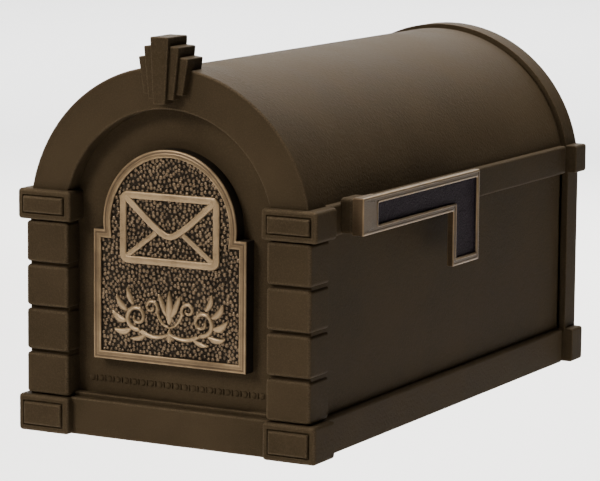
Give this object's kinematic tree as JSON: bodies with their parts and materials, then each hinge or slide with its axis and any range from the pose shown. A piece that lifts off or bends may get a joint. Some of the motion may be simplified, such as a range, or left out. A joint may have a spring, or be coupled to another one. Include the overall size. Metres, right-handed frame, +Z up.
{
  "type": "post-mount mailbox",
  "caption": "Post-mount cast mailbox: vaulted body, drop-down arched door with keystone pull and brass plaque, turning brass carrier flag.",
  "frame": {"origin": "on the underside, on the lower face of the mounting plate, at the middle of the length and of the width", "axes": "+X to the right of someone facing the door, +Y from the door to the rear cover, +Z up"},
  "size_m": [0.2915, 0.5432, 0.3344],
  "materials": {
    "bronze_paint": "dark bronze brown powder coat, fine texture, low gloss, on cast aluminium",
    "aged_brass": "satin brushed antique brass on raised work, blackened in the sunk ground",
    "galvanised_sheet": "dull galvanised sheet steel with faint spangle",
    "zinc_steel": "bright zinc plated screws",
    "stainless": "turned stainless steel",
    "ferrite": "matte black ferrite magnet",
    "nylon": "natural moulded nylon"
  },
  "bodies": {
    "box": {"body_shell": "bronze_paint", "floor_plate": "galvanised_sheet", "mounting_plate": "galvanised_sheet", "rear_cover": "bronze_paint", "hinge_bracket_left": "galvanised_sheet", "hinge_pin_left": "stainless", "hinge_bracket_screw_left": "zinc_steel", "floor_screw_left_1": "zinc_steel", "floor_screw_left_2": "zinc_steel", "mounting_screw_left_1": "zinc_steel", "mounting_screw_left_2": "zinc_steel", "cover_screw_left_lower": "zinc_steel", "cover_screw_left_upper": "zinc_steel", "hinge_bracket_right": "galvanised_sheet", "hinge_pin_right": "stainless", "hinge_bracket_screw_right": "zinc_steel", "floor_screw_right_1": "zinc_steel", "floor_screw_right_2": "zinc_steel", "mounting_screw_right_1": "zinc_steel", "mounting_screw_right_2": "zinc_steel", "cover_screw_right_lower": "zinc_steel", "cover_screw_right_upper": "zinc_steel", "magnet_bracket": "galvanised_sheet", "catch_magnet": "ferrite", "magnet_screw_1": "zinc_steel", "magnet_screw_2": "zinc_steel", "flag_bracket": "bronze_paint", "flag_bush": "nylon", "flag_stop_pin": "stainless", "flag_bracket_screw_1": "zinc_steel", "flag_bracket_screw_2": "zinc_steel"},
    "door_leaf": {"door": "bronze_paint", "keystone_handle": "bronze_paint", "keystone_screw_1": "zinc_steel", "keystone_screw_2": "zinc_steel", "plaque": "aged_brass", "plaque_screw_1": "zinc_steel", "plaque_screw_2": "zinc_steel", "plaque_screw_3": "zinc_steel", "plaque_screw_4": "zinc_steel", "strike_plate": "zinc_steel", "strike_screw_left": "zinc_steel", "strike_screw_right": "zinc_steel"},
    "carrier_flag": {"flag": "aged_brass", "flag_stud": "stainless", "flag_spring_washer": "stainless", "flag_lock_nut": "stainless"}
  },
  "joints": [
    {"name": "door_hinge", "type": "hinge", "parent": "box", "child": "door_leaf", "pos_m": [0, -0.238, 0.006], "axis": [1, 0, 0], "range_deg": [0, 95]},
    {"name": "flag_pivot", "type": "hinge", "parent": "box", "child": "carrier_flag", "pos_m": [0.145, -0.196, 0.193], "axis": [1, 0, 0], "range_deg": [0, 90]}
  ]
}
